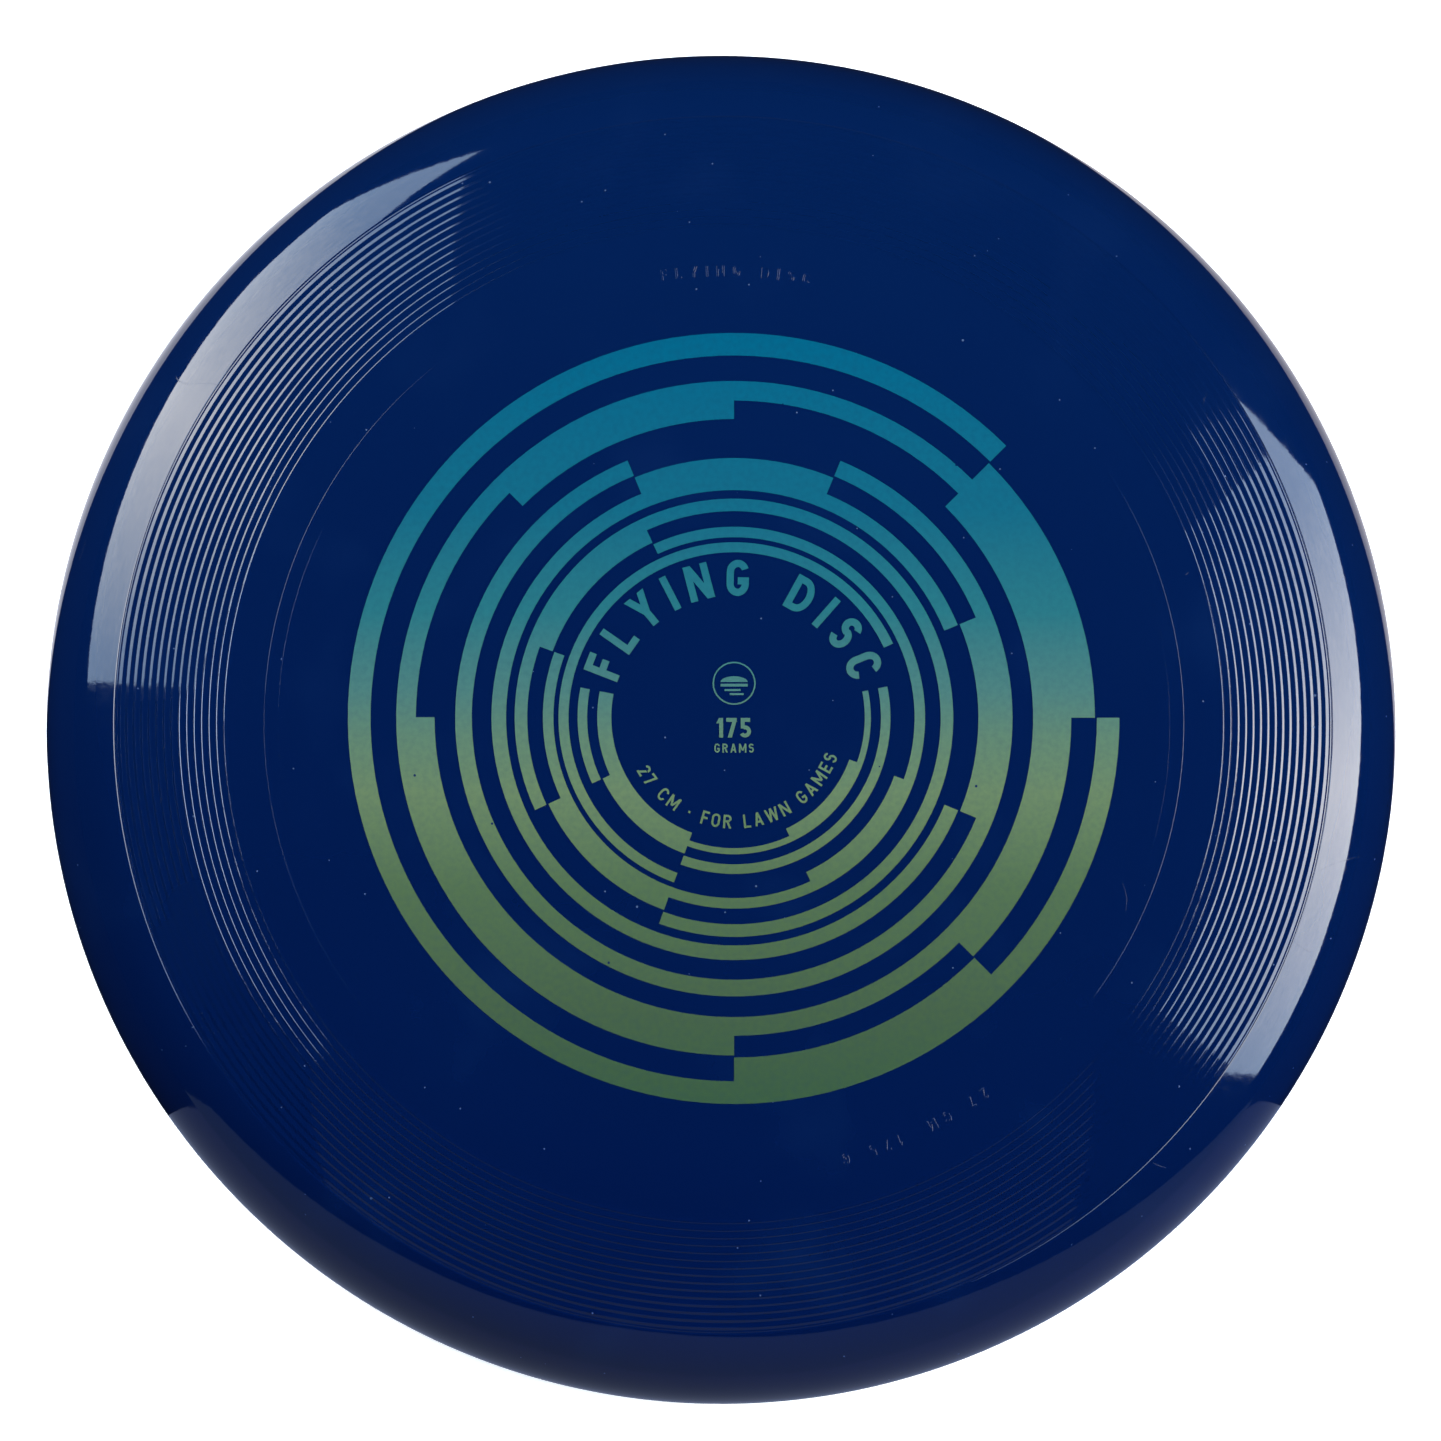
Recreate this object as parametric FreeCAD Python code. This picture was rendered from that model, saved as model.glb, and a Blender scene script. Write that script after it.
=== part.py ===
import FreeCAD, Part
import math
import os

# A 175 gram flying disc for lawn games. It is one moulded polyethylene body, open underneath, and the
# pieces of hot-stamped foil that decorate its flight plate. Millimetres, +Z up. The origin is on the
# spin axis, in the plane that the rim stands on.

# ---- driving dimensions of the moulded body ----
OUTER_RADIUS = 136.5
HEIGHT = 32.0
PLATE_THICKNESS = 2.0
RIM_THICKNESS = 3.3
FLAT_RADIUS = 84.0  # the flight plate is flat out to here, and curves down beyond
ZONE_END_SLOPE = 12.0  # degrees, where that curve meets the groove at the shoulder

# ---- flight rings: level treads that step down the curve, joined by sloping risers ----
RING_COUNT = 15
RING_PITCH = 1.5
FIRST_RING_RADIUS = 99.5  # the middle of the first riser
RISER_SLOPE = 24.0  # degrees
LAST_TREAD_END = 121.2
GROOVE_RADIUS = 121.4
GROOVE_DEPTH = 0.12

# ---- shoulder, rim and lip ----
SHOULDER_START_RADIUS = 121.6
SHOULDER_RADIUS = 21.0  # the round from the groove down to the widest point
LOWER_WALL_RADIUS = 35.0
LIP_TOP = 2.6
LIP_INNER_RADIUS = 131.9
FOOT_INNER_RADIUS = 132.7
FOOT_OUTER_RADIUS = 133.9  # the flat land that the disc rests on
PLATE_END_RADIUS = 114.0  # beyond here the plate thickens into the rim
THICKENING_SLOPE = 20.0  # degrees

# ---- mould marks ----
WITNESS_RADII = (88.6, 91.4)  # the edges of the mould's lettered insert
WITNESS_WIDTH = 0.3
WITNESS_HEIGHT = 0.07
MOULD_CAP_HEIGHT = 2.1
MOULD_TEXT_TOP = 31.98
MOULD_TEXT_ROOT = 31.0  # the raised letters start inside the plate, so that they fuse with it
MOULD_STROKE = 0.15
MOULD_GAP = 0.85
MOULD_TEXTS = (("FLYING DISC", 88.6), ("175 G", 289.0), ("27 CM", 301.0))
GATE_BOSS = (4.0, 0.5)  # radius and depth of the boss round the moulding gate, on the underside
GATE_NUB = (1.5, 0.4)

# ---- foil print ----
FOIL_THICKNESS = 0.08
FOIL_TOP = HEIGHT + FOIL_THICKNESS
PRINT_CENTRE = (1.9, 0.9)  # the stamp is a little off the spin axis
BADGE_CENTRE_Y = 6.8
BADGE_RADIUS = 4.3
BADGE_BORDER = 0.3
FACET_ANGLE = 12.0  # degrees per facet on the round strokes of letters
EIGHTH = 45.0  # degrees in an eighth of a turn

# A foil ring, counted from the outermost, is one or more sectors of a ring: inner radius, outer radius,
# first and last edge. The edges fall on eighths of a turn, counted anticlockwise from the ring's own
# phase in degrees. Rings that meet at a corner keep a gap of 0.4 mm there.
FOIL_RINGS = {
    "foil_ring_1": (0.0, [(72.2, 76.7, 1, 8), (67.5, 72.2, 6, 7)]),
    "foil_ring_2": (0.0, [(63.2, 67.1, -1, 6), (67.1, 71.8, 0, 1), (59.5, 63.2, -4, 1), (59.5, 63.2, 2, 3)]),
    "foil_ring_3": (22.5, [(52.1, 55.4, 2, 9), (48.6, 52.1, 7, 8)]),
    "foil_ring_4": (22.5, [(45.3, 48.2, 0, 7), (48.2, 51.7, 1, 2)]),
    "foil_ring_5": (25.0, [(41.1, 43.6, -3, 4), (38.4, 41.1, 2, 3)]),
    "foil_ring_6": (25.0, [(35.9, 38.0, 3, 10), (38.0, 40.7, 4, 5), (33.9, 35.9, 6, 7)]),
    "foil_ring_7": (25.0, [(32.9, 34.9, 0, 5)]),
    "foil_ring_8": (25.0, [(29.2, 31.1, -3, -0.3)]),
    "foil_ring_9": (25.0, [(29.2, 31.1, 3.2, 4)]),
    "foil_ring_10": (25.0, [
        (26.0, 27.2, -3, -0.3),
        (24.4, 26.0, -2, -1),
        (24.4, 27.2, 3.2, 5),
        (27.2, 28.8, 4, 5),
    ]),
}


# ---------------------------------------------------------------- the body's outline in the XZ plane
ZONE_RADIUS = (SHOULDER_START_RADIUS - FLAT_RADIUS) / math.sin(math.radians(ZONE_END_SLOPE))
SHOULDER_CENTRE_RADIUS = OUTER_RADIUS - SHOULDER_RADIUS
SHOULDER_START_SLOPE = math.asin((SHOULDER_START_RADIUS - SHOULDER_CENTRE_RADIUS) / SHOULDER_RADIUS)


ORIGIN = FreeCAD.Vector(0, 0, 0)
UP = FreeCAD.Vector(0, 0, 1)


def point(radius, height):
    return FreeCAD.Vector(radius, 0, height)


def line(a, b):
    return Part.LineSegment(point(*a), point(*b)).toShape()


def arc(a, through, b):
    return Part.Arc(point(*a), point(*through), point(*b)).toShape()


def on_zone(radius, above=0.0):
    """A point on the curve outside the flat plate, or a distance above it along its normal."""
    slope = math.asin((radius - FLAT_RADIUS) / ZONE_RADIUS)
    reach = ZONE_RADIUS + above
    return (
        FLAT_RADIUS + reach * math.sin(slope),
        HEIGHT - ZONE_RADIUS + reach * math.cos(slope),
    )


def zone_arc(first, last, above=0.0):
    """The curve itself between two radii, or one parallel to it."""
    return arc(on_zone(first, above), on_zone((first + last) / 2, above), on_zone(last, above))


WIDEST_Z = on_zone(SHOULDER_START_RADIUS)[1] - SHOULDER_RADIUS * math.cos(SHOULDER_START_SLOPE)


def on_shoulder(slope, radius=SHOULDER_RADIUS):
    """A point on the shoulder's round, where the surface has this slope in radians."""
    return (
        SHOULDER_CENTRE_RADIUS + radius * math.sin(slope),
        WIDEST_Z + radius * math.cos(slope),
    )


def on_lower_wall(z):
    drop = WIDEST_Z - z
    return (OUTER_RADIUS - LOWER_WALL_RADIUS + math.sqrt(LOWER_WALL_RADIUS**2 - drop**2), z)


def plate_top():
    """From the axis to the first flight ring, with the two witness lines of the mould insert."""
    edges = [line((0.0, HEIGHT), on_zone(FLAT_RADIUS))]
    at = FLAT_RADIUS
    for radius in WITNESS_RADII:
        start = radius - WITNESS_WIDTH / 2
        end = radius + WITNESS_WIDTH / 2
        edges.append(zone_arc(at, start))
        edges.append(arc(on_zone(start), on_zone(radius, WITNESS_HEIGHT), on_zone(end)))
        at = end
    edges.append(zone_arc(at, FIRST_RING_RADIUS - RING_PITCH / 2))
    return edges


def flight_rings():
    """The treads and risers, and the groove that parts them from the shoulder."""
    edges = []
    at = on_zone(FIRST_RING_RADIUS - RING_PITCH / 2)
    for i in range(RING_COUNT):
        radius = FIRST_RING_RADIUS + i * RING_PITCH
        tread_z = at[1]
        next_z = on_zone(radius + RING_PITCH / 2)[1]
        half_width = (tread_z - next_z) / math.tan(math.radians(RISER_SLOPE)) / 2
        riser_top = (radius - half_width, tread_z)
        riser_foot = (radius + half_width, next_z)
        edges += [line(at, riser_top), line(riser_top, riser_foot)]
        at = riser_foot
    tread_end = (LAST_TREAD_END, at[1])
    groove = (GROOVE_RADIUS, on_zone(GROOVE_RADIUS)[1] - GROOVE_DEPTH)
    return edges + [
        line(at, tread_end),
        line(tread_end, groove),
        line(groove, on_zone(SHOULDER_START_RADIUS)),
    ]


def rim_outside():
    """The shoulder, the lower wall, the rounded lip and the flat foot."""
    halfway = (SHOULDER_START_SLOPE + math.pi / 2) / 2
    widest = (OUTER_RADIUS, WIDEST_Z)
    lip_top = on_lower_wall(LIP_TOP)
    eighth_turn = math.radians(45)
    lip_middle = (
        FOOT_OUTER_RADIUS + (lip_top[0] - FOOT_OUTER_RADIUS) * math.sin(eighth_turn),
        LIP_TOP * (1 - math.cos(eighth_turn)),
    )
    return [
        arc(on_zone(SHOULDER_START_RADIUS), on_shoulder(halfway), widest),
        arc(widest, on_lower_wall((WIDEST_Z + LIP_TOP) / 2), lip_top),
        arc(lip_top, lip_middle, (FOOT_OUTER_RADIUS, 0.0)),
        line((FOOT_OUTER_RADIUS, 0.0), (FOOT_INNER_RADIUS, 0.0)),
    ]


def inner_wall():
    """From the foot, round the inside of the lip, up the rim's inner wall and in to the plate."""
    inner_radius = SHOULDER_RADIUS - RIM_THICKNESS
    lip_height = LIP_TOP / 2
    eighth_turn = math.radians(45)
    lip_inner = (LIP_INNER_RADIUS, lip_height)
    lip_corner = (
        FOOT_INNER_RADIUS - (FOOT_INNER_RADIUS - LIP_INNER_RADIUS) * math.sin(eighth_turn),
        lip_height * (1 - math.cos(eighth_turn)),
    )
    thickening = math.radians(THICKENING_SLOPE)
    inner_widest = (SHOULDER_CENTRE_RADIUS + inner_radius, WIDEST_Z)
    thick_end = on_shoulder(thickening, inner_radius)
    return [
        arc((FOOT_INNER_RADIUS, 0.0), lip_corner, lip_inner),
        line(lip_inner, inner_widest),
        arc(inner_widest, on_shoulder((thickening + math.pi / 2) / 2, inner_radius), thick_end),
        line(thick_end, on_zone(PLATE_END_RADIUS, -PLATE_THICKNESS)),
        zone_arc(PLATE_END_RADIUS, FLAT_RADIUS, -PLATE_THICKNESS),
    ]


def plate_underside():
    """The flat underside, the gate boss, and back up the axis."""
    under = HEIGHT - PLATE_THICKNESS
    boss_radius, boss_depth = GATE_BOSS
    nub_radius, nub_depth = GATE_NUB
    boss_z = under - boss_depth
    nub_z = boss_z - nub_depth
    return [
        line(on_zone(FLAT_RADIUS, -PLATE_THICKNESS), (boss_radius, under)),
        line((boss_radius, under), (boss_radius, boss_z)),
        line((boss_radius, boss_z), (nub_radius, boss_z)),
        line((nub_radius, boss_z), (nub_radius, nub_z)),
        line((nub_radius, nub_z), (0.0, nub_z)),
        line((0.0, nub_z), (0.0, HEIGHT)),
    ]


# ---------------------------------------------------------------- letters, made of flat strokes
# A glyph is a width and a list of stroke outlines, in units of its cap height.
def box_stroke(x0, y0, x1, y1):
    return [(x0, y0), (x1, y0), (x1, y1), (x0, y1)]


def slant(xa, ya, xb, yb, weight):
    """A straight stroke between two heights, cut off level at both ends."""
    half = weight * math.hypot(xb - xa, yb - ya) / abs(yb - ya) / 2
    return [(xa - half, ya), (xa + half, ya), (xb + half, yb), (xb - half, yb)]


def bowl(cx, cy, rx, ry, weight, first, last):
    """Part of an elliptical ring, from one angle to another, by its outer half-width and half-height."""
    steps = max(2, round(abs(last - first) / FACET_ANGLE))
    angles = [math.radians(first + (last - first) * i / steps) for i in range(steps + 1)]
    outside = [(cx + rx * math.cos(a), cy + ry * math.sin(a)) for a in angles]
    inside = [
        (cx + (rx - weight) * math.cos(a), cy + (ry - weight) * math.sin(a)) for a in reversed(angles)
    ]
    return outside + inside


def glyphs(w):
    """The capitals and figures that the lettering uses, for a stroke weight: (width, strokes)."""
    wide, half = 0.62, 0.31
    stem = box_stroke(0, 0, w, 1)
    top_bar = box_stroke(0, 1 - w, 0.52, 1)
    foot_bar = box_stroke(0, 0, 0.52, w)
    middle_bar = box_stroke(0, 0.5 - w / 2, 0.46, 0.5 + w / 2)
    left_side = box_stroke(0, 0.34, w, 0.66)
    right_side = box_stroke(wide - w, 0.34, wide, 0.66)
    round_top = bowl(half, 0.66, half, 0.34, w, 0, 180)
    round_foot = bowl(half, 0.34, half, 0.34, w, 180, 360)
    d_ends = [box_stroke(0, 1 - w, 0.3, 1), box_stroke(0, 0, 0.3, w)]
    r_ends = [box_stroke(0, 1 - w, 0.31, 1), box_stroke(0, 0.44, 0.31, 0.44 + w)]
    return {
        ".": (w, [box_stroke(0, 0.4, w, 0.4 + w)]),
        "1": (0.3, [box_stroke(0.3 - w, 0, 0.3, 1), slant(0.06, 0.72, 0.3 - w / 2, 1, w)]),
        "2": (0.56, [
            bowl(0.28, 0.72, 0.28, 0.28, w, -10, 165),
            foot_bar,
            slant(0.12, w / 2, 0.56 - w, 0.62, w),
        ]),
        "5": (0.56, [
            box_stroke(0.04, 1 - w, 0.52, 1),
            box_stroke(0.04, 0.46, 0.04 + w, 1),
            bowl(0.26, 0.31, 0.3, 0.31, w, -150, 120),
        ]),
        "7": (0.54, [box_stroke(0, 1 - w, 0.54, 1), slant(0.18, 0, 0.54 - w / 2, 1 - w / 2, w)]),
        "A": (0.7, [
            slant(w / 2 + 0.02, 0, 0.35, 1, w),
            slant(0.68 - w / 2, 0, 0.35, 1, w),
            box_stroke(0.16, 0.22, 0.54, 0.22 + w),
        ]),
        "C": (wide, [
            bowl(half, 0.66, half, 0.34, w, 15, 180),
            bowl(half, 0.34, half, 0.34, w, 180, 345),
            left_side,
        ]),
        "D": (0.66, [stem, *d_ends, bowl(0.29, 0.5, 0.37, 0.5, w, -90, 90)]),
        "E": (0.54, [stem, top_bar, foot_bar, middle_bar]),
        "F": (0.52, [stem, top_bar, middle_bar]),
        "G": (wide, [
            bowl(half, 0.66, half, 0.34, w, 20, 180),
            round_foot,
            left_side,
            box_stroke(wide - w, 0.33, wide, 0.52),
            box_stroke(half, 0.52 - w, wide, 0.52),
        ]),
        "I": (w, [stem]),
        "L": (0.52, [stem, foot_bar]),
        "M": (0.82, [
            stem,
            box_stroke(0.82 - w, 0, 0.82, 1),
            slant(0.41, 0.22, w / 2, 1, w),
            slant(0.41, 0.22, 0.82 - w / 2, 1, w),
        ]),
        "N": (0.68, [stem, box_stroke(0.68 - w, 0, 0.68, 1), slant(0.68 - w / 2, 0, w / 2, 1, w)]),
        "O": (wide, [round_top, round_foot, left_side, right_side]),
        "R": (0.62, [
            stem,
            *r_ends,
            bowl(0.3, 0.72, 0.3, 0.28, w, -90, 90),
            slant(0.62 - w / 2, 0, 0.3, 0.5, w),
        ]),
        "S": (0.56, [
            bowl(0.28, 0.72, 0.28, 0.28, w, 20, 270),
            bowl(0.28, 0.28 + w / 4, 0.28, 0.28 + w / 4, w, -160, 90),
        ]),
        "W": (0.94, [
            slant(0.25, 0, w / 2, 1, w),
            slant(0.25, 0, 0.47, 1, w),
            slant(0.69, 0, 0.47, 1, w),
            slant(0.69, 0, 0.94 - w / 2, 1, w),
        ]),
        "Y": (0.66, [
            box_stroke(0.33 - w / 2, 0, 0.33 + w / 2, 0.5),
            slant(0.33, 0.42, w / 2, 1, w),
            slant(0.33, 0.42, 0.66 - w / 2, 1, w),
        ]),
        " ": (0.36, []),
    }


def prism(outline, bottom, thickness):
    corners = [FreeCAD.Vector(x, y, bottom) for x, y in outline]
    face = Part.Face(Part.makePolygon(corners + corners[:1]))
    return face.extrude(FreeCAD.Vector(0, 0, thickness))


def one_solid(pieces):
    """Overlapping pieces as one clean solid."""
    if len(pieces) == 1:
        return pieces[0]
    return pieces[0].multiFuse(pieces[1:]).removeSplitter()


def letters(text, cap, weight, gap, bottom, top, place):
    """The solids of a line of text. place(solid, along) puts a letter whose middle is that far along."""
    table = glyphs(weight)
    widths = [table[character][0] for character in text]
    at = -(sum(widths) + gap * (len(text) - 1)) * cap / 2
    solids = []
    for character, width in zip(text, widths):
        strokes = [
            prism([((x - width / 2) * cap, y * cap) for x, y in outline], bottom, top - bottom)
            for outline in table[character][1]
        ]
        if strokes:
            solids.append(place(one_solid(strokes), at + width * cap / 2))
        at += (width + gap) * cap
    return solids


def on_arc(baseline_radius, middle_angle, tops_outward, centre=(0.0, 0.0)):
    """A place function for text round a centre, by the radius of its baseline."""
    def place(solid, along):
        turn = math.degrees(along / baseline_radius)
        if tops_outward:
            solid.translate(FreeCAD.Vector(0, baseline_radius, 0))
            solid.rotate(ORIGIN, UP, middle_angle - 90 - turn)
        else:
            solid.translate(FreeCAD.Vector(0, -baseline_radius, 0))
            solid.rotate(ORIGIN, UP, middle_angle + 90 + turn)
        solid.translate(FreeCAD.Vector(centre[0], centre[1], 0))
        return solid

    return place


def on_line(baseline_y, centre):
    def place(solid, along):
        solid.translate(FreeCAD.Vector(centre[0] + along, centre[1] + baseline_y, 0))
        return solid

    return place


# ---------------------------------------------------------------- the pieces
def mould_lettering():
    """Raised lettering between the witness lines, rooted in the plate."""
    baseline = sum(WITNESS_RADII) / 2 - MOULD_CAP_HEIGHT / 2
    raised = []
    for text, angle in MOULD_TEXTS:
        raised += letters(
            text, MOULD_CAP_HEIGHT, MOULD_STROKE, MOULD_GAP, MOULD_TEXT_ROOT, MOULD_TEXT_TOP,
            on_arc(baseline, angle, True),
        )
    return raised


def disc_body():
    outline = Part.Wire(plate_top() + flight_rings() + rim_outside() + inner_wall() + plate_underside())
    turned = Part.Face(outline).revolve(ORIGIN, UP, 360)
    return turned.multiFuse(mould_lettering()).Solids[0]


def foil_sector(inner_radius, outer_radius, first, sweep):
    """A flat sector of foil lying on the flight plate, round the print's centre."""
    corners = [
        point(inner_radius, HEIGHT),
        point(outer_radius, HEIGHT),
        point(outer_radius, FOIL_TOP),
        point(inner_radius, FOIL_TOP),
    ]
    section = Part.Face(Part.makePolygon(corners + corners[:1]))
    piece = section.revolve(ORIGIN, UP, sweep)
    piece.rotate(ORIGIN, UP, first)
    piece.translate(FreeCAD.Vector(PRINT_CENTRE[0], PRINT_CENTRE[1], 0))
    return piece


def foil_ring(phase, sectors):
    return one_solid([
        foil_sector(inner_radius, outer_radius, phase + EIGHTH * first, EIGHTH * (last - first))
        for inner_radius, outer_radius, first, last in sectors
    ])


def foil_flat(outline):
    """A patch of foil with this outline round the badge's centre."""
    cx, cy = PRINT_CENTRE[0], PRINT_CENTRE[1] + BADGE_CENTRE_Y
    return prism([(cx + x, cy + y) for x, y in outline], HEIGHT, FOIL_THICKNESS)


def foil_badge():
    """A plain round badge: a thin border, a disc in flight seen from the side, and two wind lines."""
    def circle(radius):
        return foil_flat(bowl(0, 0, radius, radius, BADGE_BORDER, 0, 180))

    upper = circle(BADGE_RADIUS)
    lower = circle(BADGE_RADIUS)
    centre = FreeCAD.Vector(PRINT_CENTRE[0], PRINT_CENTRE[1] + BADGE_CENTRE_Y, 0)
    lower.rotate(centre, UP, 180)
    dome = [
        (2.7 * math.cos(a), 0.25 + 1.15 * math.sin(a)) for a in (math.radians(15 * i) for i in range(13))
    ]
    rim = box_stroke(-2.7, -0.65, 2.7, -0.1)
    winds = [box_stroke(-1.9, -1.55, 1.3, -1.15), box_stroke(-0.9, -2.35, 1.9, -1.95)]
    return [one_solid([upper, lower])] + [foil_flat(outline) for outline in [dome, rim, *winds]]


def foil_text(text, cap, weight, gap, place):
    return letters(text, cap, weight, gap, HEIGHT, FOIL_TOP, place)


def foil_lettering():
    """Each printed line of text, by node name."""
    size_line = "27 CM . FOR LAWN GAMES"
    return {
        "foil_title": foil_text("FLYING DISC", 7.2, 0.2, 0.3, on_arc(24.2, 90.0, True, PRINT_CENTRE)),
        "foil_weight_figure": foil_text("175", 3.9, 0.2, 0.16, on_line(-4.0, PRINT_CENTRE)),
        "foil_weight_unit": foil_text("GRAMS", 1.8, 0.17, 0.26, on_line(-7.0, PRINT_CENTRE)),
        "foil_size_line": foil_text(size_line, 2.7, 0.16, 0.3, on_arc(22.1, 274.0, False, PRINT_CENTRE)),
    }


def export(name, solids):
    shape = solids[0] if len(solids) == 1 else Part.makeCompound(solids)
    assert shape.isValid(), name
    shape.exportStep("parts/" + name + ".step")
    print(name, len(solids), "solids", round(shape.Volume, 1), "mm3")


def main():
    os.makedirs("parts", exist_ok=True)
    export("disc_body", [disc_body()])
    for name, (phase, sectors) in FOIL_RINGS.items():
        export(name, [foil_ring(phase, sectors)])
    export("foil_badge", foil_badge())
    for name, solids in foil_lettering().items():
        export(name, solids)


main()
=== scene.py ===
import math

import bmesh
import bpy
from mathutils import Matrix, Vector


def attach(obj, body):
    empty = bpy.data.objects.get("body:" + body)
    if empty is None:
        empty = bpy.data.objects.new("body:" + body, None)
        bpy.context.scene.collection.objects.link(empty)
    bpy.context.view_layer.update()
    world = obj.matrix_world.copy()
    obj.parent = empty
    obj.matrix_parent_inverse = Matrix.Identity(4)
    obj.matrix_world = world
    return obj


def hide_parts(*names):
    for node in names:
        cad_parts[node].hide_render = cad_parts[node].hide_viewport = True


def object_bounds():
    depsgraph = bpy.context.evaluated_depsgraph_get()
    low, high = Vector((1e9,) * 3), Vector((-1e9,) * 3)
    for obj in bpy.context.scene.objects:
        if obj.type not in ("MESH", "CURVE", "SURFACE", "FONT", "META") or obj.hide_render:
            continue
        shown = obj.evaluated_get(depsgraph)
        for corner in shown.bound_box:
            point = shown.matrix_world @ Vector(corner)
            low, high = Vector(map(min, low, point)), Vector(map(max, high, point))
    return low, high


# A navy flying disc for lawn games, seen from above: a glossy moulded body with fine flight rings,
# raised mould marks, and stamped foil rings and lettering that shade from teal to olive green.
# Metres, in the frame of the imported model. Colours are linear RGB.

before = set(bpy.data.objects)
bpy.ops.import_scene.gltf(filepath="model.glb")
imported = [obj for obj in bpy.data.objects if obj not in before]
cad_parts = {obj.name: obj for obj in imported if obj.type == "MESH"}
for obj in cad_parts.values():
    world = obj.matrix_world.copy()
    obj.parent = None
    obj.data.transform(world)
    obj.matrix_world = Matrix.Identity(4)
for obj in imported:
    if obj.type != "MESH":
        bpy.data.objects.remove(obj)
cad_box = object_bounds()

MM = 0.001

# ---- the moulded body ----
OUTER_RADIUS = 136.5 * MM
TOP = 32.0 * MM
PLATE_THICKNESS = 2.0 * MM
RIM_THICKNESS = 3.3 * MM
FLAT_RADIUS = 84.0 * MM
ZONE_END_SLOPE = math.radians(12)  # the zone outside the flat plate curves down to this slope
SHOULDER_START_RADIUS = 121.6 * MM
SHOULDER_RADIUS = 21.0 * MM
LOWER_WALL_RADIUS = 35.0 * MM
LIP_TOP = 2.6 * MM
LIP_INNER_RADIUS = 131.9 * MM
FOOT_INNER_RADIUS = 132.7 * MM
FOOT_OUTER_RADIUS = 133.9 * MM
PLATE_END_RADIUS = 114.0 * MM
THICKENING_SLOPE = math.radians(20)
GATE_BOSS = (4.0 * MM, 0.5 * MM)  # radius and depth
GATE_NUB = (1.5 * MM, 0.4 * MM)  # radius and depth
GATE_SOFTNESS = 0.2 * MM

# ---- the fine marks on its top ----
RING_COUNT = 15
RING_PITCH = 1.5 * MM
FIRST_RING_RADIUS = 99.5 * MM
RISER_SLOPES = (math.radians(37), math.radians(28))  # at the innermost ring and the outermost
FACET_WIDTH = 0.13 * MM  # along the upper edge of every riser
FACET_SLOPE = math.radians(19)
WORN_RINGS = 7  # the innermost flight rings, whose facets are worn flatter
WORN_SLOPES = (math.radians(10.2), math.radians(11.8))  # at the innermost ring and the last worn one
GROOVE_START_RADIUS = 121.1 * MM
GROOVE_DEPTH = 0.1 * MM
WITNESS_RADII = (88.6 * MM, 91.4 * MM)
WITNESS_HEIGHTS = (0.009 * MM, 0.015 * MM)
WITNESS_WIDTH = 0.11 * MM
GUARD = 0.01 * MM  # how near a corner of the profile the next point of a straight stretch is
LETTER_MARGIN = 0.25 * MM  # between the raised letters and the witness lines
LETTER_DEPTH = 0.03 * MM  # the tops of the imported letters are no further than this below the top
LETTER_RISE = 0.022 * MM
LETTER_SLOPE_WIDTH = 0.065 * MM
LETTER_ROOT = 0.02 * MM
WALL_LIMIT = 0.5  # a face of a letter is a side, and not its top, if its normal's height is under this

# ---- how many points the body's profile has ----
LATHE_SEGMENTS = 360
PLATE_POINTS = 7
WITNESS_POINTS = 5
STRETCH_POINTS = 4
ZONE_POINTS = 6
SHOULDER_POINTS = 25
WALL_POINTS = 6
FOOT_POINTS = 9
LIP_POINTS = 6
INNER_WALL_POINTS = 15
UNDERSIDE_POINTS = 7

# ---- the plastic ----
NAVY_LOW = (0.0001, 0.0043, 0.0335, 1)
NAVY_HIGH = (0.0005, 0.0080, 0.0440, 1)
# Painted shade: these shares mix the two navies so the body is darker towards the lowest Y, where less
# light falls, and lighter towards the highest.
NAVY_PAINTED_SHADE_SHARES = (-0.2, 0.8)  # of the second navy in the first, at the lowest Y and the highest
NAVY_HANDLED = (0.002, 0.011, 0.052, 1)
DUST_COLOUR = (0.03, 0.055, 0.12, 1)
CLOUD_SCALE = 14.0
CLOUD_SHARE = 0.4
HAZE_SCALE = 34.0
HAZE_RANGE = (0.55, 0.8)
HAZE_SHARE = 0.5
WAVE_SCALE = 70.0
MOTTLE_SCALE = 420.0
SCRATCH_SCALE = 32.0
SCRATCH_HALF_WIDTH = 0.0012  # of the noise's range
SCRATCH_PATCH_SCALE = 95.0
SCRATCH_PATCH_LIMIT = 0.68
COARSE_DUST = (170.0, 0.04, 0.1)  # scale, size, and the share of cells that hold a speck
FINE_DUST = (420.0, 0.07, 0.09)
PLASTIC_ROUGHNESS = (0.03, 0.07)
DUST_ROUGHNESS = 0.4
SCUFF_ROUGHNESS = 0.12
PLASTIC_IOR = 1.51
CLOUD_BUMP = (0.2, 0.0004)  # strength and distance
WAVE_BUMP = (0.12, 0.0002)
MOTTLE_BUMP = (0.1, 0.00008)
SCUFF_BUMP = (0.2, 0.00003)
NOISE_RANGE = (0.3, 0.7)  # most of a noise texture's values lie between these

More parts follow.
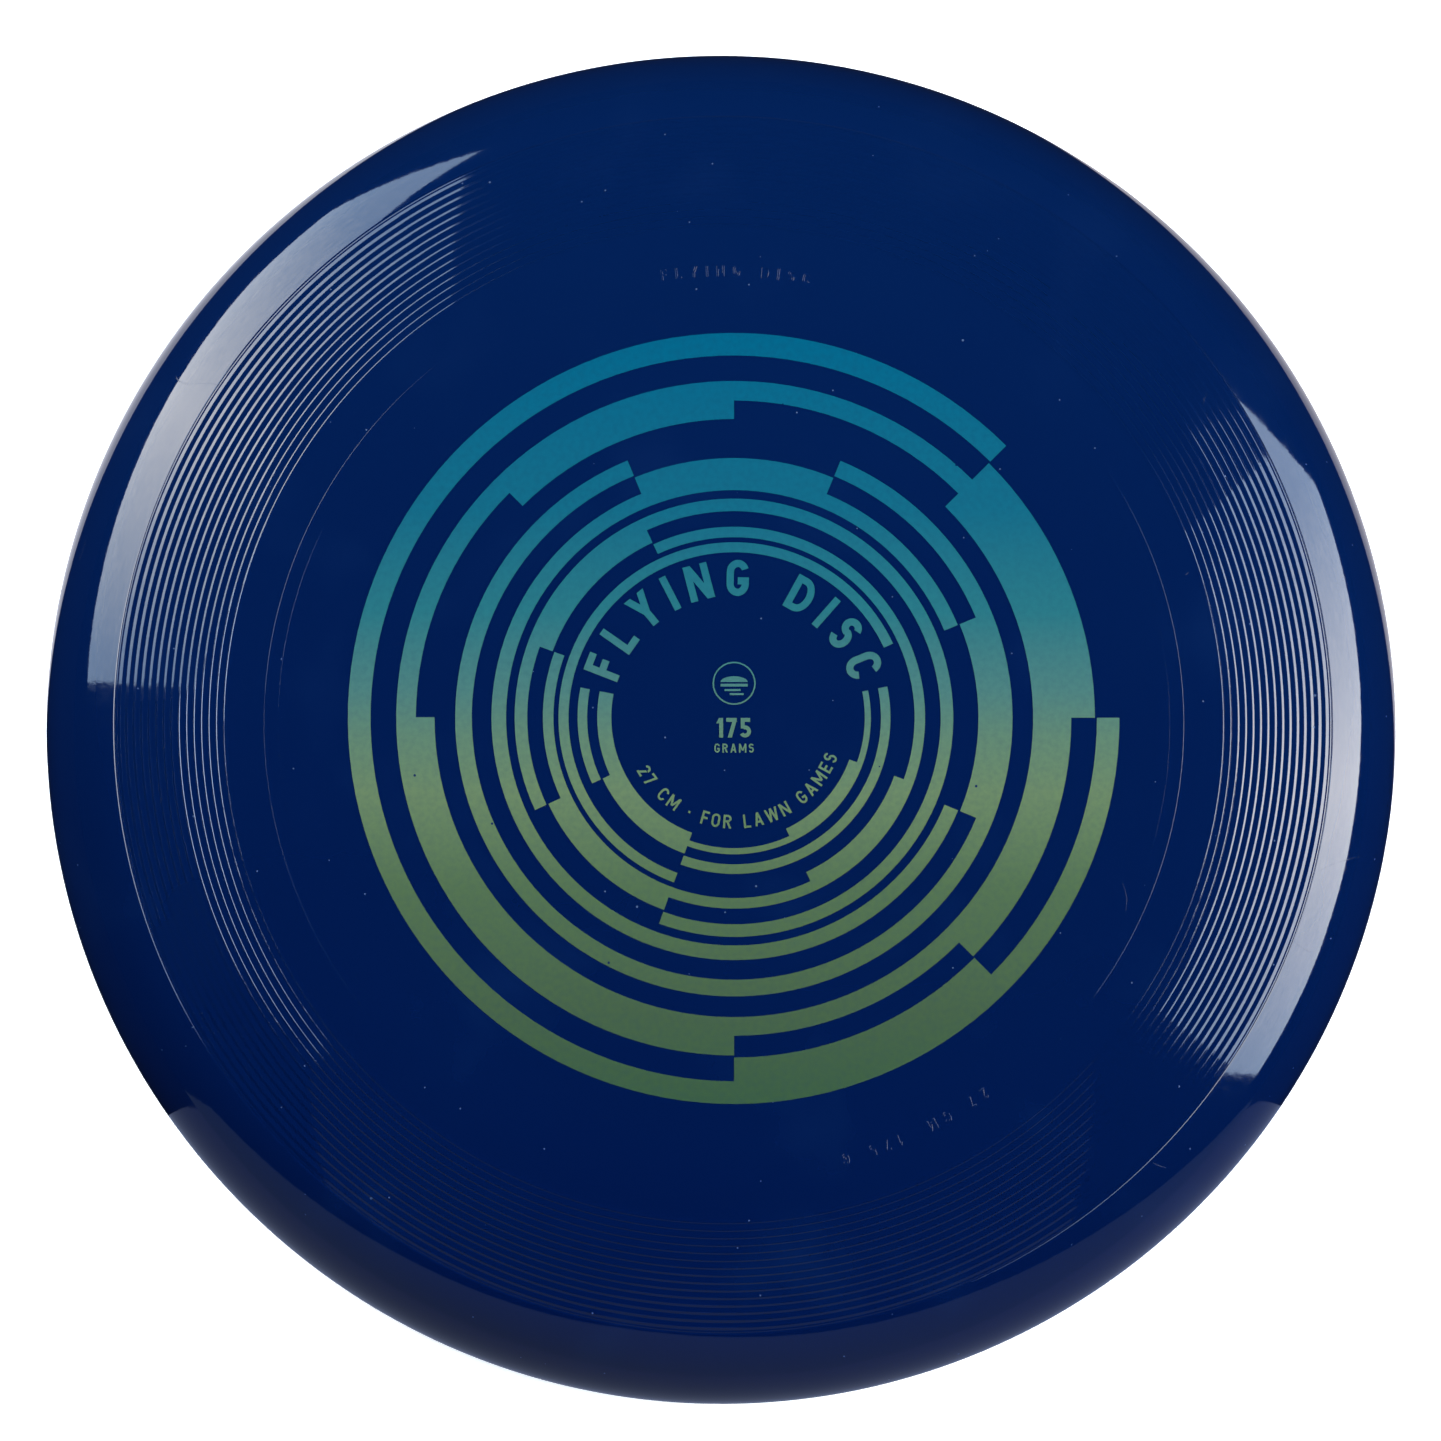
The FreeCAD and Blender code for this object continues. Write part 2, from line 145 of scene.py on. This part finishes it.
# ---- the foil ----
FOIL_SPAN = 78 * MM  # the colours below go from this far below the spin axis to this far above it
FOIL_STOPS = (
    (0.0, (0.026, 0.060, 0.026, 1)),
    (0.13, (0.039, 0.069, 0.031, 1)),
    (0.29, (0.055, 0.093, 0.040, 1)),
    (0.41, (0.090, 0.134, 0.064, 1)),
    (0.48, (0.072, 0.130, 0.080, 1)),
    (0.54, (0.045, 0.118, 0.100, 1)),
    (0.64, (0.014, 0.100, 0.111, 1)),
    (0.77, (0.004, 0.078, 0.114, 1)),
    (1.0, (0.0, 0.070, 0.121, 1)),
)
FOIL_GRAIN_SCALE = 900.0
FOIL_GRAIN_BUMP = (0.1, 0.0001)
FOIL_WORN_RANGE = (0.35, 0.75)
FOIL_WORN_SHARE = 0.16
FOIL_WORN_COLOUR = (0.0, 0.02, 0.06, 1)
FOIL_PINHOLES = (260.0, 0.07, 0.06)
FOIL_PINHOLE_COLOUR = (0.0005, 0.009, 0.05, 1)
FOIL_ROUGHNESS = (0.12, 0.2)

# ---- the studio ----
LOOK_AT = Vector((-0.5 * MM, 1.0 * MM, 16 * MM))
VIEW_DIRECTION = Vector((-0.0187, -0.0443, 1.0))
CAMERA_DISTANCE = 1.3
CAMERA_LENS = 161.4
PALE = (0.9, 0.9, 0.9, 1)
FLOOR_LIFT = 0.62
FLOOR_DIM = (0.006, 0.006, 0.007, 1)
FLOOR_HALF_WIDTH = 12.0
FLOOR_GAP = 0.05 * MM
WORLD_DIM = (0.004, 0.006, 0.009, 1)
LAMP_DISTANCE = 1.5
LAMP_GRAIN = (90.0, 90.0, 7.0)
LAMP_UNEVENNESS = 0.2
CARD_STEPS = 24
CARD_LIFT = 0.2 * MM
EDGE_CARD = (137.2 * MM, 17 * MM)  # inner radius and width
FLOOR_CARD = (138 * MM, 1360 * MM)

# The corners of each lamp, by azimuth and elevation in degrees
LEFT_LAMP = [(111, 30), (127, -4), (150, 8), (174, 17), (172.6, 40), (171.5, 60), (150, 62), (127, 50)]
RIGHT_LAMP = [(-31, 15), (24, 9), (35, 46), (20, 60), (-10, 62), (-32, 58)]
FRONT_CARD = [(213, -0.6), (215.6, 16), (239.6, 39), (265.3, 48), (297.7, 37), (326.8, 3), (327, -0.6)]
LEFT_STRIP = [
    (150, 62.3), (171.5, 60.3), (175, 57.5), (193, 57.5), (217, 62),
    (216, 63.5), (196, 63), (175, 63), (150, 64.5),
]
FRONT_FILL = [(245, 3), (295, 3), (295, 33), (245, 33)]


# ---------------------------------------------------------------- node helpers
def new_material(name):
    """A material whose node tree is still empty, and that tree."""
    material = bpy.data.materials.new(name)
    material.use_nodes = True
    tree = material.node_tree
    tree.nodes.clear()
    return material, tree


def node(tree, kind, **settings):
    made = tree.nodes.new(kind)
    for key, value in settings.items():
        setattr(made, key, value)
    return made


def join(tree, output, socket):
    tree.links.new(output, socket)


def feed(tree, socket, value):
    """Link the socket to another node's output, or set it to a plain value."""
    if isinstance(value, bpy.types.NodeSocket):
        join(tree, value, socket)
    else:
        socket.default_value = value


def surface(tree, shader):
    output = node(tree, "ShaderNodeOutputMaterial")
    join(tree, shader.outputs[0], output.inputs["Surface"])


def noise(tree, coordinates, scale, detail):
    made = node(tree, "ShaderNodeTexNoise")
    made.inputs["Scale"].default_value = scale
    made.inputs["Detail"].default_value = detail
    join(tree, coordinates, made.inputs["Vector"])
    return made.outputs["Fac"]


def remap(tree, value, low, high, to_low, to_high):
    made = node(tree, "ShaderNodeMapRange")
    made.inputs["From Min"].default_value = low
    made.inputs["From Max"].default_value = high
    made.inputs["To Min"].default_value = to_low
    made.inputs["To Max"].default_value = to_high
    join(tree, value, made.inputs["Value"])
    return made.outputs["Result"]


def mix_colour(tree, factor, first, second):
    made = node(tree, "ShaderNodeMix", data_type="RGBA")
    feed(tree, made.inputs["Factor"], factor)
    feed(tree, made.inputs[6], first)
    feed(tree, made.inputs[7], second)
    return made.outputs[2]


def maths(tree, operation, *values):
    made = node(tree, "ShaderNodeMath", operation=operation)
    for socket, value in zip(made.inputs, values):
        feed(tree, socket, value)
    return made.outputs[0]


def object_coordinates(tree):
    return node(tree, "ShaderNodeTexCoord").outputs["Object"]


def components(tree, coordinates):
    split = node(tree, "ShaderNodeSeparateXYZ")
    join(tree, coordinates, split.inputs["Vector"])
    return split.outputs


def specks(tree, coordinates, scale, size, share):
    """1 on scattered small dots and 0 elsewhere: this share of a Voronoi pattern's cells hold one."""
    cells = node(tree, "ShaderNodeTexVoronoi")
    cells.inputs["Scale"].default_value = scale
    join(tree, coordinates, cells.inputs["Vector"])
    near = maths(tree, "LESS_THAN", cells.outputs["Distance"], size)
    split = node(tree, "ShaderNodeSeparateColor")
    join(tree, cells.outputs["Color"], split.inputs["Color"])
    chosen = maths(tree, "LESS_THAN", split.outputs["Red"], share)
    return maths(tree, "MULTIPLY", near, chosen)


def scratches(tree, coordinates):
    """1 along a few short curved hairlines and 0 elsewhere: pieces of a smooth noise's middle contour."""
    smooth = noise(tree, coordinates, SCRATCH_SCALE, detail=0.0)
    off_contour = maths(tree, "ABSOLUTE", maths(tree, "SUBTRACT", smooth, 0.5))
    hairline = maths(tree, "LESS_THAN", off_contour, SCRATCH_HALF_WIDTH)
    patchy = noise(tree, coordinates, SCRATCH_PATCH_SCALE, detail=1.0)
    patches = maths(tree, "GREATER_THAN", patchy, SCRATCH_PATCH_LIMIT)
    return maths(tree, "MULTIPLY", hairline, patches)


def bump(tree, height, strength, distance, normal=None):
    made = node(tree, "ShaderNodeBump")
    made.inputs["Strength"].default_value = strength
    made.inputs["Distance"].default_value = distance
    join(tree, height, made.inputs["Height"])
    if normal is not None:
        join(tree, normal, made.inputs["Normal"])
    return made.outputs["Normal"]


# ---------------------------------------------------------------- materials
def plastic_material():
    """Glossy navy polyethylene: slight waves and mottling, fine scratches, a little dust, and painted
    shade that darkens it towards the lowest Y.
    """
    material, tree = new_material("navy_polyethylene")
    at = object_coordinates(tree)
    clouds = noise(tree, at, CLOUD_SCALE, detail=3.0)
    haze = remap(tree, noise(tree, at, HAZE_SCALE, detail=5.0), *HAZE_RANGE, 0.0, HAZE_SHARE)
    waves = noise(tree, at, WAVE_SCALE, detail=2.0)
    mottle = noise(tree, at, MOTTLE_SCALE, detail=3.0)
    dust = maths(tree, "MAXIMUM", specks(tree, at, *COARSE_DUST), specks(tree, at, *FINE_DUST))
    scuffs = scratches(tree, at)

    # Painted shade: darker towards the lowest Y and lighter towards the highest, added to the random
    # cloudy tone.
    painted_shade_across = remap(tree, components(tree, at)["Y"], -OUTER_RADIUS, OUTER_RADIUS, *NAVY_PAINTED_SHADE_SHARES)
    shade = maths(tree, "MULTIPLY_ADD", clouds, CLOUD_SHARE, painted_shade_across)
    plain = mix_colour(tree, shade, NAVY_LOW, NAVY_HIGH)
    handled = mix_colour(tree, haze, plain, NAVY_HANDLED)
    dusty = mix_colour(tree, dust, handled, DUST_COLOUR)

    rough = remap(tree, mottle, *NOISE_RANGE, *PLASTIC_ROUGHNESS)
    rough = maths(tree, "MULTIPLY_ADD", dust, DUST_ROUGHNESS, rough)
    rough = maths(tree, "MULTIPLY_ADD", scuffs, SCUFF_ROUGHNESS, rough)

    normal = bump(tree, clouds, *CLOUD_BUMP)
    normal = bump(tree, waves, *WAVE_BUMP, normal)
    normal = bump(tree, mottle, *MOTTLE_BUMP, normal)
    normal = bump(tree, scuffs, *SCUFF_BUMP, normal)

    shader = node(tree, "ShaderNodeBsdfPrincipled")
    join(tree, dusty, shader.inputs["Base Color"])
    join(tree, rough, shader.inputs["Roughness"])
    join(tree, normal, shader.inputs["Normal"])
    shader.inputs["IOR"].default_value = PLASTIC_IOR
    surface(tree, shader)
    return material


def foil_material():
    """Stamped foil, teal at the top of the disc and olive green at the bottom, with pinholes."""
    material, tree = new_material("stamped_foil")
    at = object_coordinates(tree)
    along = remap(tree, components(tree, at)["Y"], -FOIL_SPAN, FOIL_SPAN, 0.0, 1.0)
    ramp = node(tree, "ShaderNodeValToRGB")
    stops = ramp.color_ramp.elements
    while len(stops) < len(FOIL_STOPS):
        stops.new(0.5)
    for stop, (position, colour) in zip(stops, FOIL_STOPS):
        stop.position = position
        stop.color = colour
    join(tree, along, ramp.inputs["Fac"])

    grain = noise(tree, at, FOIL_GRAIN_SCALE, detail=2.0)
    wear = remap(tree, grain, *FOIL_WORN_RANGE, 0.0, FOIL_WORN_SHARE)
    worn = mix_colour(tree, wear, ramp.outputs["Color"], FOIL_WORN_COLOUR)
    pinholed = mix_colour(tree, specks(tree, at, *FOIL_PINHOLES), worn, FOIL_PINHOLE_COLOUR)

    shader = node(tree, "ShaderNodeBsdfPrincipled")
    join(tree, pinholed, shader.inputs["Base Color"])
    join(tree, remap(tree, grain, *NOISE_RANGE, *FOIL_ROUGHNESS), shader.inputs["Roughness"])
    join(tree, bump(tree, grain, *FOIL_GRAIN_BUMP), shader.inputs["Normal"])
    surface(tree, shader)
    return material


# ---------------------------------------------------------------- the body
ZONE_RADIUS = (SHOULDER_START_RADIUS - FLAT_RADIUS) / math.sin(ZONE_END_SLOPE)
SHOULDER_CENTRE = OUTER_RADIUS - SHOULDER_RADIUS
SHOULDER_START_SLOPE = math.asin((SHOULDER_START_RADIUS - SHOULDER_CENTRE) / SHOULDER_RADIUS)


def zone_height(radius, thickness=0.0):
    """The height of the curve outside the flat plate, or of its underside at that thickness."""
    reach = ZONE_RADIUS - thickness
    return TOP - ZONE_RADIUS + math.sqrt(reach**2 - max(radius - FLAT_RADIUS, 0.0) ** 2)


WIDEST_HEIGHT = zone_height(SHOULDER_START_RADIUS) - SHOULDER_RADIUS * math.cos(SHOULDER_START_SLOPE)


def between(first, last, share):
    return first + (last - first) * share


def spread(first, last, count):
    """Evenly spaced values from the first to the last, both included."""
    return [between(first, last, i / (count - 1)) for i in range(count)]


def on_zone(radii):
    return [(radius, zone_height(radius)) for radius in radii]


def ridge_points(middle, ridge_height):
    """A witness line: a low rounded ridge, with a point of the plate close on each side of it."""
    half = WITNESS_WIDTH / 2
    reach = 1.0 + GUARD / half
    points = []
    for share in (-reach, *spread(-1.0, 1.0, WITNESS_POINTS), reach):
        radius = middle + share * half
        points.append((radius, zone_height(radius) + ridge_height * max(1 - share**2, 0.0)))
    return points


def plate_points():
    """The top of the plate, from the axis to the first flight ring."""
    points = [(radius, TOP) for radius in spread(0.0, FLAT_RADIUS, PLATE_POINTS)]
    for middle, ridge_height in zip(WITNESS_RADII, WITNESS_HEIGHTS):
        ridge = ridge_points(middle, ridge_height)
        points += on_zone(spread(points[-1][0], ridge[0][0], STRETCH_POINTS)[1:-1])
        points += ridge
    first_tread = FIRST_RING_RADIUS - RING_PITCH / 2
    return points + on_zone(spread(points[-1][0], first_tread, ZONE_POINTS)[1:])


def towards(start, end, distance):
    """The point at this distance from the start, on the way to the end."""
    share = distance / math.dist(start, end)
    return tuple(between(s, e, share) for s, e in zip(start, end))


def crisp(corners):
    """The corners, with a point close on each side of every inner one, which keeps it sharp."""
    points = [corners[0]]
    for before, corner, after in zip(corners, corners[1:], corners[2:]):
        points.append(towards(corner, before, GUARD))
        points.append(corner)
        points.append(towards(corner, after, GUARD))
    return points + [corners[-1]]


def flight_ring_points():
    """Level treads joined by risers with a facet along the top, and the groove at the foot of the
    shoulder."""
    tread = zone_height(FIRST_RING_RADIUS - RING_PITCH / 2)
    corners = [(FIRST_RING_RADIUS - RING_PITCH / 2 + GUARD, tread)]
    for i in range(RING_COUNT):
        middle = FIRST_RING_RADIUS + i * RING_PITCH
        following = zone_height(middle + RING_PITCH / 2)
        riser_slope = between(*RISER_SLOPES, i / (RING_COUNT - 1))
        half = (tread - following) / math.tan(riser_slope) / 2
        facet_slope = FACET_SLOPE
        if i < WORN_RINGS:
            facet_slope = between(*WORN_SLOPES, i / (WORN_RINGS - 1))
        facet_drop = FACET_WIDTH * math.tan(facet_slope)
        facet_start = middle - half - FACET_WIDTH + facet_drop / math.tan(riser_slope)
        corners.append((facet_start, tread))
        corners.append((facet_start + FACET_WIDTH, tread - facet_drop))
        corners.append((middle + half, following))
        tread = following
    groove_floor = tread - GROOVE_DEPTH
    corners.append((GROOVE_START_RADIUS, tread))
    corners.append((GROOVE_START_RADIUS + GROOVE_DEPTH / math.tan(RISER_SLOPES[1]), groove_floor))
    corners.append((SHOULDER_START_RADIUS - GUARD, groove_floor))
    return crisp(corners)


def on_shoulder(slope, radius):
    """A point on the shoulder's outer face or inner face, whichever has this radius of curvature."""
    return SHOULDER_CENTRE + radius * math.sin(slope), WIDEST_HEIGHT + radius * math.cos(slope)


def rim_points():
    """The shoulder, the lower wall, the lip and the foot."""
    guard = SHOULDER_START_SLOPE + GUARD / SHOULDER_RADIUS
    slopes = [SHOULDER_START_SLOPE, *spread(guard, math.pi / 2, SHOULDER_POINTS)]
    points = [on_shoulder(slope, SHOULDER_RADIUS) for slope in slopes]
    wall_centre = OUTER_RADIUS - LOWER_WALL_RADIUS
    for height in spread(WIDEST_HEIGHT, LIP_TOP, WALL_POINTS)[1:]:
        drop = WIDEST_HEIGHT - height
        points.append((wall_centre + math.sqrt(LOWER_WALL_RADIUS**2 - drop**2), height))
    reach = points[-1][0] - FOOT_OUTER_RADIUS
    for turn in spread(0.0, math.pi / 2, FOOT_POINTS)[1:]:
        points.append((FOOT_OUTER_RADIUS + reach * math.cos(turn), LIP_TOP * (1 - math.sin(turn))))
    lip_height = LIP_TOP / 2
    reach = FOOT_INNER_RADIUS - LIP_INNER_RADIUS
    for turn in spread(0.0, math.pi / 2, LIP_POINTS):
        points.append((FOOT_INNER_RADIUS - reach * math.sin(turn), lip_height * (1 - math.cos(turn))))
    return points


def underside_points():
    """From the top of the lip, up the inner wall and in under the plate to the axis."""
    slopes = spread(math.pi / 2, THICKENING_SLOPE, INNER_WALL_POINTS)
    points = [on_shoulder(slope, SHOULDER_RADIUS - RIM_THICKNESS) for slope in slopes]
    for radius in spread(PLATE_END_RADIUS, FLAT_RADIUS, UNDERSIDE_POINTS):
        points.append((radius, zone_height(radius, PLATE_THICKNESS)))
    under = TOP - PLATE_THICKNESS
    boss_radius, boss_depth = GATE_BOSS
    nub_radius, nub_depth = GATE_NUB
    return points + [
        (boss_radius + GATE_SOFTNESS, under),
        (boss_radius, under - GATE_SOFTNESS),
        (boss_radius, under - boss_depth + GATE_SOFTNESS),
        (boss_radius - GATE_SOFTNESS, under - boss_depth),
        (nub_radius + GATE_SOFTNESS, under - boss_depth),
        (nub_radius, under - boss_depth - GATE_SOFTNESS),
        (nub_radius - GATE_SOFTNESS, under - boss_depth - nub_depth),
        (0.0, under - boss_depth - nub_depth),
    ]


def link(name, mesh):
    made = bpy.data.objects.new(name, mesh)
    bpy.context.scene.collection.objects.link(made)
    return made


def lathe(name, profile):
    """A closed surface turned from a profile that starts and ends on the axis."""
    shape = bmesh.new()
    angles = [2 * math.pi * k / LATHE_SEGMENTS for k in range(LATHE_SEGMENTS)]
    rings = []
    for radius, height in profile:
        if radius == 0.0:
            rings.append([shape.verts.new((0, 0, height))] * LATHE_SEGMENTS)
        else:
            rings.append([
                shape.verts.new((radius * math.cos(a), radius * math.sin(a), height)) for a in angles
            ])
    for first, second in zip(rings, rings[1:]):
        for k in range(LATHE_SEGMENTS):
            following = (k + 1) % LATHE_SEGMENTS
            corners = [first[k], second[k], second[following], first[following]]
            unique = list(dict.fromkeys(corners))
            shape.faces.new(unique).smooth = True
    mesh = bpy.data.meshes.new(name)
    shape.to_mesh(mesh)
    shape.free()
    return link(name, mesh)


def moulded_body(plastic):
    profile = plate_points() + flight_ring_points() + rim_points() + underside_points()
    body = lathe("moulded_disc", profile)
    body.data.materials.append(plastic)
    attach(body, "root")
    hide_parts("disc_body")


def is_letter_face(face):
    """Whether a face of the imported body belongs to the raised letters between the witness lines."""
    radii = [math.hypot(vertex.co.x, vertex.co.y) for vertex in face.verts]
    highest = max(vertex.co.z for vertex in face.verts)
    inside = min(radii) > WITNESS_RADII[0] + LETTER_MARGIN
    outside = max(radii) < WITNESS_RADII[1] - LETTER_MARGIN
    return inside and outside and highest > TOP - LETTER_DEPTH


def shape_letter_point(vertex):
    """Set a top corner at the letters' height, and move a foot out and down into the plate."""
    level = zone_height(math.hypot(vertex.co.x, vertex.co.y))
    if vertex.co.z > TOP - LETTER_DEPTH:
        vertex.co.z = level + LETTER_RISE
        return
    sides = [face.normal for face in vertex.link_faces if abs(face.normal.z) < WALL_LIMIT]
    outward = sum(sides, Vector()).to_2d().normalized() * LETTER_SLOPE_WIDTH
    vertex.co += outward.to_3d()
    vertex.co.z = level - LETTER_ROOT


def mould_lettering(plastic):
    """The raised letters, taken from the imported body, with sides that slope down into the plate."""
    shape = bmesh.new()
    shape.from_mesh(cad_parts["disc_body"].data)
    others = [face for face in shape.faces if not is_letter_face(face)]
    bmesh.ops.delete(shape, geom=others, context="FACES")
    for vertex in shape.verts:
        shape_letter_point(vertex)
    bmesh.ops.holes_fill(shape, edges=shape.edges[:], sides=0)
    mesh = bpy.data.meshes.new("mould_lettering")
    shape.to_mesh(mesh)
    shape.free()
    letters = link("mould_lettering", mesh)
    letters.data.materials.clear()
    letters.data.materials.append(plastic)
    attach(letters, "root")


def paint_foil(foil):
    for name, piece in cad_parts.items():
        if name.startswith("foil_"):
            piece.data.materials.clear()
            piece.data.materials.append(foil)


# ---------------------------------------------------------------- the studio
def direction(azimuth, elevation):
    a = math.radians(azimuth)
    e = math.radians(elevation)
    return Vector((math.cos(a) * math.cos(e), math.sin(a) * math.cos(e), math.sin(e)))


def glow_panel(name, mesh, material):
    """A lit panel, which the camera doesn't see but reflections do."""
    mesh.materials.append(material)
    panel = link(name, mesh)
    panel.visible_camera = False
    return panel


def lamp(name, corners, middle, reach, bright, dim):
    """A soft lamp with these corners. Its cloth is bright at the middle azimuth and dim at this reach
    from it, in degrees, with slight unevenness all over."""
    material, tree = new_material(name)
    at = object_coordinates(tree)
    parts = components(tree, at)
    bearing = maths(tree, "ARCTAN2", parts["Y"], parts["X"])
    fade = remap(tree, maths(tree, "ABSOLUTE", bearing), 0.0, math.radians(reach), 0.0, 1.0)
    stretched = node(tree, "ShaderNodeVectorMath", operation="MULTIPLY")
    join(tree, at, stretched.inputs[0])
    stretched.inputs[1].default_value = LAMP_GRAIN
    weave = noise(tree, stretched.outputs[0], scale=1.0, detail=4.0)
    uneven = remap(tree, weave, *NOISE_RANGE, -LAMP_UNEVENNESS, LAMP_UNEVENNESS)
    shade = maths(tree, "ADD", fade, uneven)
    glow = node(tree, "ShaderNodeEmission")
    join(tree, mix_colour(tree, shade, (*bright, 1), (*dim, 1)), glow.inputs["Color"])
    surface(tree, glow)
    points = [direction(azimuth - middle, elevation) * LAMP_DISTANCE for azimuth, elevation in corners]
    mesh = bpy.data.meshes.new(name)
    mesh.from_pydata(points, [], [tuple(range(len(points)))])
    panel = glow_panel(name, mesh, material)
    panel.rotation_euler.z = math.radians(middle)
    return panel


def bounce_card(name, start, end, inner, width, roundness, colour):
    """A lit patch of the floor round the disc, which only the rim reflects. It runs from one azimuth to
    another, as a sickle that is widest half way along, or with a roundness of 0 as a plain sector."""
    material, tree = new_material(name)
    glow = node(tree, "ShaderNodeEmission")
    glow.inputs["Color"].default_value = (*colour, 1)
    surface(tree, glow)
    level = cad_box[0].z + CARD_LIFT
    points = []
    for share in spread(0.0, 1.0, CARD_STEPS + 1):
        angle = math.radians(between(start, end, share))
        for radius in (inner, inner + width * math.sin(math.pi * share) ** roundness):
            points.append((radius * math.cos(angle), radius * math.sin(angle), level))
    faces = [(2 * i, 2 * i + 1, 2 * i + 3, 2 * i + 2) for i in range(CARD_STEPS)]
    mesh = bpy.data.meshes.new(name)
    mesh.from_pydata(points, [], faces)
    card = glow_panel(name, mesh, material)
    card.visible_shadow = False
    card.visible_diffuse = False


def by_ray(tree, seen, other):
    """A shader that the camera sees as the first and every other ray sees as the second."""
    path = node(tree, "ShaderNodeLightPath")
    mix = node(tree, "ShaderNodeMixShader")
    join(tree, path.outputs["Is Camera Ray"], mix.inputs[0])
    join(tree, other.outputs[0], mix.inputs[1])
    join(tree, seen.outputs[0], mix.inputs[2])
    return mix


def studio_floor():
    """A wide floor that looks white, but is nearly black in reflections."""
    material, tree = new_material("pale_floor")
    pale = node(tree, "ShaderNodeBsdfDiffuse")
    pale.inputs["Color"].default_value = PALE
    lift = node(tree, "ShaderNodeEmission")
    lift.inputs["Color"].default_value = (1, 1, 1, 1)
    lift.inputs["Strength"].default_value = FLOOR_LIFT
    seen = node(tree, "ShaderNodeAddShader")
    join(tree, pale.outputs[0], seen.inputs[0])
    join(tree, lift.outputs[0], seen.inputs[1])
    dim = node(tree, "ShaderNodeBsdfDiffuse")
    dim.inputs["Color"].default_value = FLOOR_DIM
    surface(tree, by_ray(tree, seen, dim))
    level = cad_box[0].z - FLOOR_GAP
    half = FLOOR_HALF_WIDTH
    corners = [(-half, -half, level), (half, -half, level), (half, half, level), (-half, half, level)]
    mesh = bpy.data.meshes.new("floor")
    mesh.from_pydata(corners, [], [(0, 1, 2, 3)])
    mesh.materials.append(material)
    link("floor", mesh)


def studio_world():
    world = bpy.data.worlds.new("studio")
    world.use_nodes = True
    tree = world.node_tree
    tree.nodes.clear()
    pale = node(tree, "ShaderNodeBackground")
    pale.inputs["Color"].default_value = PALE
    dim = node(tree, "ShaderNodeBackground")
    dim.inputs["Color"].default_value = WORLD_DIM
    output = node(tree, "ShaderNodeOutputWorld")
    join(tree, by_ray(tree, pale, dim).outputs[0], output.inputs["Surface"])
    bpy.context.scene.world = world


def studio_lamps():
    lamp("left_lamp", LEFT_LAMP, middle=147, reach=25, bright=(10.0, 10.3, 10.3), dim=(3.0, 4.3, 5.8))
    lamp("right_lamp", RIGHT_LAMP, middle=-3, reach=28, bright=(12.5, 12.7, 12.9), dim=(4.2, 5.6, 7.4))
    lamp("front_card", FRONT_CARD, middle=270, reach=60, bright=(0.20, 0.25, 0.31), dim=(0.17, 0.23, 0.30))
    lamp("left_strip", LEFT_STRIP, middle=175, reach=50, bright=(12.5, 15.0, 19.0), dim=(3.0, 4.2, 6.5))
    fill = lamp("front_fill", FRONT_FILL, middle=270, reach=60, bright=(10, 11, 13), dim=(10, 11, 13))
    fill.visible_glossy = False
    bounce_card("front_floor", 215, 326, *FLOOR_CARD, roundness=0, colour=(0.22, 0.27, 0.42))
    bounce_card("left_edge", 110, 181, *EDGE_CARD, roundness=1, colour=(1.0, 1.02, 1.15))
    bounce_card("right_edge", -8, 66, *EDGE_CARD, roundness=1, colour=(0.8, 0.78, 0.86))


def studio_camera():
    back = VIEW_DIRECTION.normalized()
    right = Vector((0, 1, 0)).cross(back).normalized()
    up = back.cross(right)
    data = bpy.data.cameras.new("camera")
    data.lens = CAMERA_LENS
    camera = bpy.data.objects.new("camera", data)
    bpy.context.scene.collection.objects.link(camera)
    turn = Matrix((right, up, back)).transposed().to_4x4()
    camera.matrix_world = Matrix.Translation(LOOK_AT + back * CAMERA_DISTANCE) @ turn
    bpy.context.scene.camera = camera


def main():
    plastic = plastic_material()
    moulded_body(plastic)
    mould_lettering(plastic)
    paint_foil(foil_material())
    studio_floor()
    studio_world()
    studio_lamps()
    studio_camera()
    bpy.context.scene.view_settings.view_transform = "Standard"


main()
